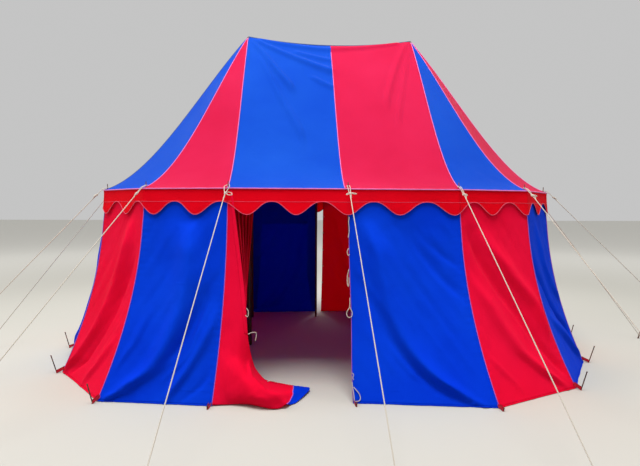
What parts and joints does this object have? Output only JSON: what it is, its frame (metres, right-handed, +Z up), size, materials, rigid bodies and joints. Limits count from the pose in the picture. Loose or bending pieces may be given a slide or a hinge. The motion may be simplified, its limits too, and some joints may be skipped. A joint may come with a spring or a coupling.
{
  "type": "oval two-pole canvas pavilion tent",
  "caption": "Oval canvas pavilion tent in red and blue panels on two centre poles, with scalloped valance, flared pegged walls, guy ropes and an open door.",
  "frame": {"origin": "on the ground under the middle of the ridge, at the centre of the box round the guy pegs", "axes": "+X along the ridge to the right as seen from the door side, +Y to the back, +Z up; the open door faces -Y"},
  "size_m": [7.9978, 6.97, 3.6],
  "materials": {
    "roof_blue": "dyed cotton canvas, matt with a faint weave",
    "roof_red": "dyed cotton canvas, matt with a faint weave",
    "wall_blue": "dyed cotton canvas, matt with packing creases",
    "wall_red": "dyed cotton canvas, matt with packing creases",
    "valance_red": "dyed cotton canvas, matt",
    "seam_piping": "woven tape in the seams",
    "webbing_red": "woven cotton webbing, matt",
    "cotton_rope": "twisted off-white cotton rope",
    "pole_wood": "planed softwood, matt",
    "peg_iron": "forged iron rod with brown surface rust"
  },
  "bodies": {
    "root": {"roof_front": "roof_blue", "roof_back": "roof_red", "roof_right_front": "roof_blue", "roof_right_side": "roof_blue", "roof_right_back": "roof_blue", "roof_left_back": "roof_blue", "roof_left_side": "roof_blue", "roof_left_front": "roof_blue", "valance_front": "valance_red", "valance_right": "valance_red", "valance_back": "valance_red", "valance_left": "valance_red", "wall_front_right": "wall_blue", "wall_right_front": "wall_red", "wall_right_side": "wall_red", "wall_right_back": "wall_red", "wall_back_right": "wall_red", "wall_back_left": "wall_blue", "wall_left_back": "wall_red", "wall_left_side": "wall_red", "wall_left_front": "wall_red", "door_flap": "wall_red", "centre_pole_left": "pole_wood", "centre_pole_right": "pole_wood", "side_pole_1": "pole_wood", "side_pole_2": "pole_wood", "side_pole_3": "pole_wood", "side_pole_4": "pole_wood", "side_pole_5": "pole_wood", "side_pole_6": "pole_wood", "side_pole_7": "pole_wood", "side_pole_8": "pole_wood", "side_pole_9": "pole_wood", "side_pole_10": "pole_wood", "side_pole_11": "pole_wood", "side_pole_12": "pole_wood", "side_pole_13": "pole_wood", "side_pole_14": "pole_wood", "side_pole_15": "pole_wood", "side_pole_16": "pole_wood", "guy_rope_1": "cotton_rope", "guy_rope_2": "cotton_rope", "guy_rope_3": "cotton_rope", "guy_rope_4": "cotton_rope", "guy_rope_5": "cotton_rope", "guy_rope_6": "cotton_rope", "guy_rope_7": "cotton_rope", "guy_rope_8": "cotton_rope", "guy_rope_9": "cotton_rope", "guy_rope_10": "cotton_rope", "guy_rope_11": "cotton_rope", "guy_rope_12": "cotton_rope", "guy_rope_13": "cotton_rope", "guy_rope_14": "cotton_rope", "guy_rope_15": "cotton_rope", "guy_rope_16": "cotton_rope", "hem_pegs_right": "peg_iron", "hem_pegs_left": "peg_iron"}
  },
  "joints": []
}
